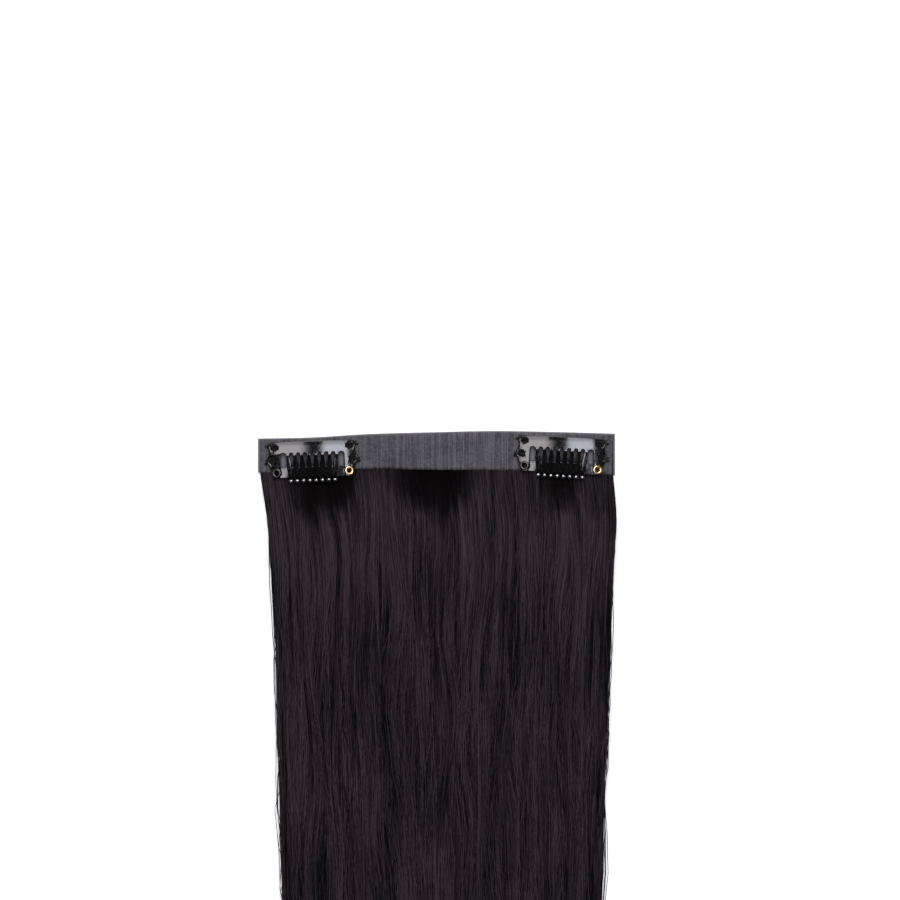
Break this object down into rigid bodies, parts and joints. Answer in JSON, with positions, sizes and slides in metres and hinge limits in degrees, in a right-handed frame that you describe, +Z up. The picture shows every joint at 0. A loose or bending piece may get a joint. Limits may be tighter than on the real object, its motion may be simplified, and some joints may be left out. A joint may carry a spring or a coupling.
{
  "type": "clip in hair extension",
  "caption": "Clip-in hair extension: a folded film band with snap clips sewn on, holding a flat curtain of long straight dark hair.",
  "frame": {"origin": "middle of the band's flat underside, on the surface that the part lies on", "axes": "+X along the band to the right as seen from the clip side, hair falling towards -Y, +Z up out of the clips"},
  "size_m": [0.1072, 0.412, 0.005],
  "materials": {
    "film": "satin translucent film over hair roots",
    "hair": "straight hair with a soft sheen",
    "black_paint": "gloss black paint on sheet steel",
    "brass": "bare polished brass",
    "thread": "twisted black sewing thread"
  },
  "bodies": {
    "root": {"pu_band": "film", "hair": "hair", "left_clip_plate": "black_paint", "left_clip_bar": "black_paint", "left_clip_black_eyelet": "black_paint", "left_clip_brass_eyelet": "brass", "right_clip_plate": "black_paint", "right_clip_bar": "black_paint", "right_clip_black_eyelet": "black_paint", "right_clip_brass_eyelet": "brass"}
  },
  "joints": []
}
